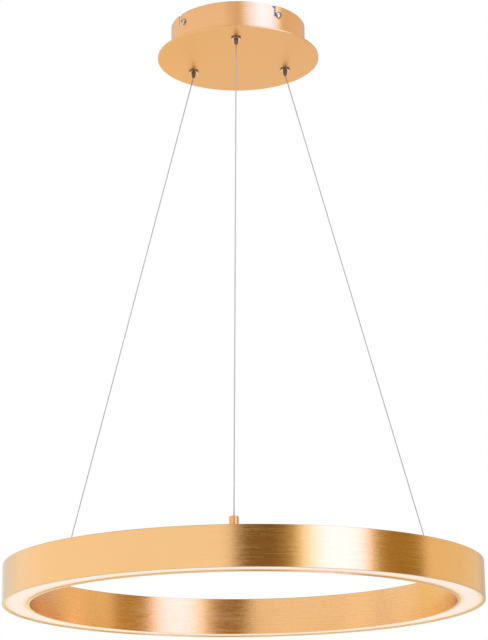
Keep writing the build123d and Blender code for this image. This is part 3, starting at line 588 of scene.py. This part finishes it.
own_finishes = {
    "canopy_cup": brushed_gold(
        "satin_gold_drum", (0.92, 0.505, 0.235), turned_grain, roughness=0.27, relief=0.04, anisotropy=0.7,
        lacquer=0.05, edges=drum_edges,
    ),
    "canopy_plate": brushed_gold(
        "satin_gold_plate", (0.925, 0.50, 0.19), straight_grain, roughness=0.38, relief=0.10,
        edges=plate_edges,
    ),
    # Bracket, with painted shade on its face against the ceiling
    "ceiling_bracket": bracket_zinc("zinc_plated_bracket", (0.90, 0.83, 0.66), (0.42, 0.37, 0.25)),
}
anchor_gold = brushed_gold("satin_gold_anchor", (0.92, 0.53, 0.22), turned_grain, roughness=0.42, relief=0.05)
dark_nickel = polished_metal("dark_nickel_plunger", (0.20, 0.14, 0.10), roughness=0.10, cloud_scale=300.0)
# Gripper bodies, with painted shade on their sides and tops
body_nickel = polished_metal("nickel_gripper_body", nickel, 0.06, cloud_scale=300.0, painted_shade_colour=nickel_painted_shade)
for number in wire_numbers:
    own_finishes[f"wire_anchor_{number}"] = anchor_gold
    own_finishes[f"gripper_plunger_{number}"] = dark_nickel
    own_finishes[f"gripper_body_{number}"] = body_nickel
for row in frame["record"]["subparts"]:
    node_name = row["node"]
    finish = own_finishes.get(node_name) or finishes[row["material_slot"]]
    nodes[node_name].material_slots[0].material = finish


def tube_mesh(name, points, radius, sides):
    """A closed round tube along a line of points, with rings that don't twist."""
    rings = []
    start = points[1] - points[0]
    turn_axis = Vector((0, 0, 1)) if abs(start.normalized().z) < steep_start else Vector((1, 0, 0))
    side = turn_axis.cross(start).normalized()
    turns = [2 * pi * step / sides for step in range(sides)]
    for index, point in enumerate(points):
        before = points[max(index - 1, 0)]
        after = points[min(index + 1, len(points) - 1)]
        forward = (after - before).normalized()
        side = (side - forward * side.dot(forward)).normalized()
        up = forward.cross(side)
        rings.append([point + radius * (cos(turn) * side + sin(turn) * up) for turn in turns])
    vertices = [corner for ring in rings for corner in ring]
    faces = []
    for ring in range(len(rings) - 1):
        here = ring * sides
        there = here + sides
        for step in range(sides):
            after_step = (step + 1) % sides
            faces.append((here + step, here + after_step, there + after_step, there + step))
    faces.append(tuple(reversed(range(sides))))
    faces.append(tuple(range((len(rings) - 1) * sides, len(rings) * sides)))
    mesh = bpy.data.meshes.new(name)
    mesh.from_pydata(vertices, [], faces)
    for polygon in mesh.polygons:
        polygon.use_smooth = len(polygon.vertices) == 4
    mesh.update()
    return mesh


def new_piece(name, mesh, material):
    """An object of the lamp or the studio, linked to the scene."""
    piece = bpy.data.objects.new(name, mesh)
    mesh.materials.append(material)
    scene.collection.objects.link(piece)
    return piece


def smooth_route(points):
    """The points of a smooth line through a cord's route."""
    curve = bpy.data.curves.new("route", "CURVE")
    curve.dimensions = "3D"
    spline = curve.splines.new("NURBS")
    spline.points.add(len(points) - 1)
    for control, point in zip(spline.points, points):
        control.co = (*point, 1.0)
    spline.order_u = 3
    spline.use_endpoint_u = True
    holder = bpy.data.objects.new("route", curve)
    mesh = bpy.data.meshes.new_from_object(holder)
    route = [vertex.co.copy() for vertex in mesh.vertices]
    bpy.data.objects.remove(holder)
    bpy.data.curves.remove(curve)
    bpy.data.meshes.remove(mesh)
    return route


def polar(radius, angle, z):
    """A point at a radius and angle about the lamp's axis."""
    return Vector((radius * cos(angle), radius * sin(angle), z))


# Suspension wires, taut from the grippers to the balls in the ring's anchors
for number, angle in zip(wire_numbers, wire_angles):
    pivot = polar(gripper_circle, angle, pivot_z)
    ferrule = polar(anchor_circle, angle, ferrule_z)
    upper_end = pivot + (pivot - ferrule).normalized() * wire_entry
    route = smooth_route([upper_end, (upper_end + ferrule) / 2, ferrule])
    wire_name = f"suspension_wire_{number}"
    wire_mesh = tube_mesh(wire_name, route, wire_diameter / 2, wire_sides)
    wire = new_piece(f"{wire_name}_cord", wire_mesh, finishes["wire_sheath"])
    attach(wire, f"wire_{number}")
    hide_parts(wire_name)
    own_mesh(wire)

# Gripper springs, which are shorter when the noses are pressed
spring_steps = spring_turns * spring_steps_per_turn
for number, angle in zip(wire_numbers, wire_angles):
    spring_name = f"gripper_spring_{number}"
    spring_low, spring_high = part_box(spring_name)
    foot = polar(gripper_circle, angle, 0)
    coil_radius = (spring_high.x - spring_low.x - spring_wire) / 2
    bottom = spring_low.z + spring_wire / 2
    rise = spring_high.z - spring_low.z - spring_wire
    coil = []
    for step in range(spring_steps + 1):
        share = step / spring_steps
        coil.append(foot + polar(coil_radius, 2 * pi * spring_turns * share, bottom + rise * share))
    spring_mesh = tube_mesh(spring_name, coil, spring_wire / 2, spring_sides)
    spring = new_piece(f"{spring_name}_coil", spring_mesh, finishes["zinc_steel"])
    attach(spring, "canopy")
    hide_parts(spring_name)
    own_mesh(spring)


def build_camera():
    """The camera at the photograph's place, looking up at the lamp."""
    data = bpy.data.cameras.new("camera")
    data.sensor_width = sensor_mm
    data.lens = focal_px * sensor_mm / picture_height_px
    camera = bpy.data.objects.new("camera", data)
    tilt = Matrix.Rotation(radians(90) + camera_pitch, 4, "X")
    roll = Matrix.Rotation(camera_roll, 4, "Z")
    camera.matrix_world = camera_swing @ Matrix.Translation(camera_place) @ tilt @ roll
    scene.collection.objects.link(camera)
    scene.camera = camera


def build_world():
    """White to the camera and through glass; to metal a studio that is dimmer above, behind and right."""
    world = bpy.data.worlds.new("studio")
    world.use_nodes = True
    tree = world.node_tree
    axes = axes_of(tree, add_node(tree, "ShaderNodeTexCoord").outputs["Generated"])
    azimuth = calc(tree, "ARCTAN2", axes["X"], calc(tree, "MULTIPLY", axes["Y"], -1.0))
    turned = calc(tree, "SUBTRACT", calc(tree, "DEGREES", azimuth), degrees(camera_turn))
    upper = remap(tree, axes["Z"], *top_slopes, 1.0, top_level)
    right = remap(tree, turned, *right_degrees, 1.0, right_level)
    behind = remap(tree, calc(tree, "ABSOLUTE", turned), *back_degrees, 0.0, 1.0 - back_level)
    above_floor = remap(tree, axes["Z"], *floor_slopes, 0.0, 1.0)
    back = calc(tree, "SUBTRACT", 1.0, calc(tree, "MULTIPLY", behind, above_floor))
    studio = calc(tree, "MULTIPLY", upper, calc(tree, "MULTIPLY", right, back))
    path = add_node(tree, "ShaderNodeLightPath").outputs
    plain = calc(tree, "MAXIMUM", path["Is Camera Ray"], path["Is Transmission Ray"])
    strength = calc(tree, "ADD", ambient_level, calc(tree, "MULTIPLY", plain, 1.0 - ambient_level))
    mirrored = calc(tree, "MULTIPLY", path["Is Glossy Ray"], calc(tree, "SUBTRACT", studio, ambient_level))
    fill(tree, tree.nodes["Background"], {
        "Color": (1.0, 1.0, 1.0, 1.0),
        "Strength": calc(tree, "ADD", strength, mirrored),
    })
    scene.world = world


def studio_sheet(name, corners):
    """A flat sheet of the studio and its material's tree."""
    material = bpy.data.materials.new(name)
    material.use_nodes = True
    mesh = bpy.data.meshes.new(name)
    mesh.from_pydata(corners, [], [(0, 1, 2, 3)])
    return new_piece(name, mesh, material), material.node_tree


def graded_light(tree, rim, middle, core):
    """A colour that changes from a card's ends to its middle."""
    share = axes_of(tree, add_node(tree, "ShaderNodeTexCoord").outputs["Generated"])["X"]
    off_end = calc(tree, "MINIMUM", share, calc(tree, "SUBTRACT", 1.0, share))
    outer_light = blend_colours(tree, remap(tree, off_end, *middle_shares, 0.0, 1.0), rim, middle)
    return blend_colours(tree, remap(tree, off_end, *core_shares, 0.0, 1.0), outer_light, core)


def build_cards():
    """Softboxes, and dark, warm and dim cards, turned with the camera, for the metal to mirror."""
    for first, second, (bottom, top), lights in cards:
        corners = [(*first, bottom), (*second, bottom), (*second, top), (*first, top)]
        card, tree = studio_sheet("studio_card", [camera_swing @ Vector(corner) for corner in corners])
        light = (*lights[0], 1.0) if len(lights) == 1 else graded_light(tree, *lights)
        glow = add_node(tree, "ShaderNodeEmission", inputs={"Color": light}).outputs[0]
        fill(tree, tree.nodes["Material Output"], {"Surface": glow})
        card.visible_camera = False
        card.visible_diffuse = False
        card.visible_transmission = False
        card.visible_shadow = False


def build_floor():
    """A pale floor well below the lamp, plain white to the camera, to metal and through glass."""
    reach = floor_side / 2
    plan = ((-reach, -reach), (reach, -reach), (reach, reach), (-reach, reach))
    floor, tree = studio_sheet("studio_floor", [(x, y, floor_z) for x, y in plan])
    path = add_node(tree, "ShaderNodeLightPath").outputs
    mirrored = calc(tree, "MAXIMUM", path["Is Glossy Ray"], path["Is Transmission Ray"])
    plain = calc(tree, "MAXIMUM", path["Is Camera Ray"], mirrored)
    pale = (floor_white, floor_white, floor_white, 1.0)
    paint = add_node(tree, "ShaderNodeBsdfDiffuse", inputs={"Color": pale}).outputs[0]
    white = add_node(tree, "ShaderNodeEmission").outputs[0]
    mixed = add_node(tree, "ShaderNodeMixShader", inputs={0: plain, 1: paint, 2: white}).outputs[0]
    fill(tree, tree.nodes["Material Output"], {"Surface": mixed})


def build_key_light():
    """A large soft lamp from the upper left, which metal doesn't mirror."""
    data = bpy.data.lights.new("key", "AREA")
    data.energy = key_power
    data.size = key_side
    key = bpy.data.objects.new("key", data)
    aim = Vector((0, 0, cad_low.z / 2)) - key_place
    key.location = key_place
    key.rotation_euler = aim.to_track_quat("-Z", "Y").to_euler()
    key.visible_glossy = False
    scene.collection.objects.link(key)


build_camera()
build_world()
build_cards()
build_floor()
build_key_light()
